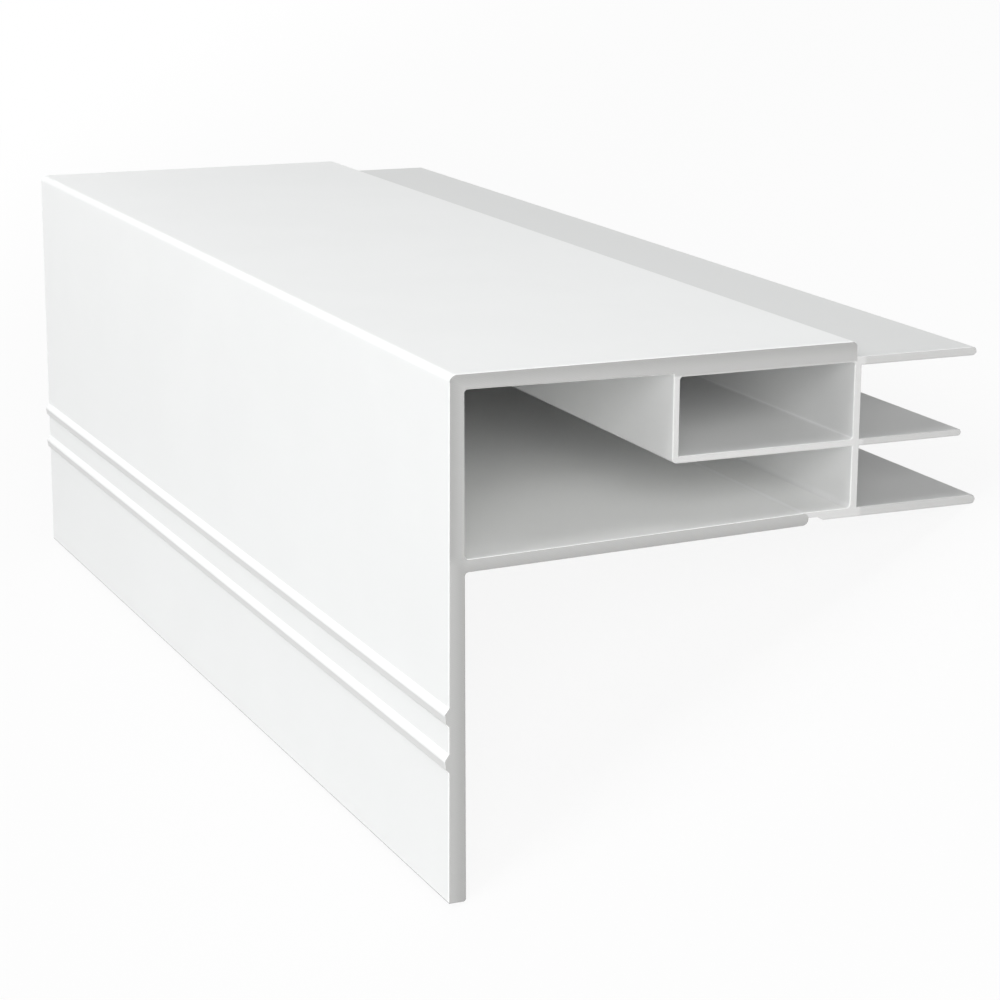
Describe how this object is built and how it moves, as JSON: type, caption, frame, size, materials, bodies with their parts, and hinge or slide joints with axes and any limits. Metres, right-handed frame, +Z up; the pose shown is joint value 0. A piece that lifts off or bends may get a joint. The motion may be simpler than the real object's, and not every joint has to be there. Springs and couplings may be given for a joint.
{
  "type": "polycarbonate sheet f-section trim",
  "caption": "White extruded F-section edge trim for multiwall roof sheets: tall face plate with drip beads, top plate, leg, box chamber and sheet-holding prongs.",
  "frame": {"origin": "centre of the bounding box, on the floor", "axes": "+Y along the extrusion, +Z up as the length lies leaning on the foot of its face plate and the tip of its bottom prong, +X towards the prongs"},
  "size_m": [0.1336, 0.263, 0.0801],
  "materials": {
    "white_pvc": "smooth semi-gloss white extrusion skin with matt saw-cut ends"
  },
  "bodies": {
    "root": {"f_section_trim": "white_pvc"}
  },
  "joints": []
}
